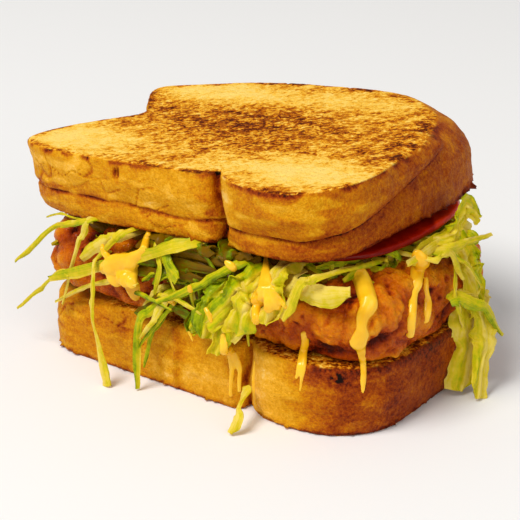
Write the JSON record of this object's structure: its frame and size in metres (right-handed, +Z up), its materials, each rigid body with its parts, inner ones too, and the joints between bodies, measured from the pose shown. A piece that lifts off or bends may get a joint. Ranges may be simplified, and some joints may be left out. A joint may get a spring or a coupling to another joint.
{
  "type": "melt sandwich",
  "caption": "Melt sandwich of thick griddled bread slices with fried chicken, shredded lettuce, tomato and a thick yellow sauce.",
  "frame": {"origin": "middle of the bottom slice's underside, on the surface that the sandwich rests on", "axes": "+Z up; +X along the slices' flat bottom crust, from left to right as seen from that crust; +Y from that crust to the domed crown"},
  "size_m": [0.1562, 0.126, 0.0838],
  "materials": {
    "toast": "golden griddled bread with a browned, slightly greasy crust",
    "chicken": "crisp, knobbly fried breading with an oily shine",
    "lettuce": "thin crisp leaf, pale at the ribs",
    "tomato": "wet cut tomato",
    "sauce": "thick smooth yellow sauce with a wet shine"
  },
  "bodies": {
    "root": {"bottom_toast": "toast", "chicken_left": "chicken", "chicken_right": "chicken", "lettuce": "lettuce", "tomato": "tomato", "top_toast": "toast", "loose_strip": "lettuce"}
  },
  "joints": []
}
